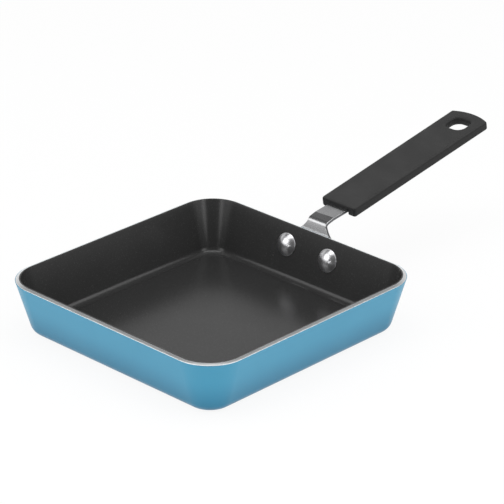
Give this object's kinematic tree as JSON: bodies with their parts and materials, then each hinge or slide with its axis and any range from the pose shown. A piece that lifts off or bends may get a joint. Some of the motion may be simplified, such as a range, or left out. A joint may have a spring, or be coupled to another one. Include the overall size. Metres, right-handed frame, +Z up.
{
  "type": "tamagoyaki pan",
  "caption": "Small square frying pan for rolled omelettes with low leaning walls, enamelled outside and nonstick inside, and a riveted strap handle with a moulded grip and hanging hole.",
  "frame": {"origin": "centre of the bare base, on the surface that the pan stands on", "axes": "+Z up, +Y from the pan's centre towards the handle, +X across the pan"},
  "size_m": [0.1298, 0.2409, 0.0515],
  "materials": {
    "bare_aluminium": "milled bare metal at the rim and on the base",
    "blue_enamel": "satin blue enamel",
    "nonstick": "satin black nonstick coat",
    "bracket_steel": "brushed stamped steel",
    "rivet_aluminium": "polished solid rivet",
    "grip_black": "matte black moulded plastic"
  },
  "bodies": {
    "root": {"pan_body": "bare_aluminium", "exterior_enamel": "blue_enamel", "nonstick_lining": "nonstick", "handle_bracket": "bracket_steel", "handle_grip": "grip_black", "rivet_left": "rivet_aluminium", "rivet_right": "rivet_aluminium"}
  },
  "joints": []
}
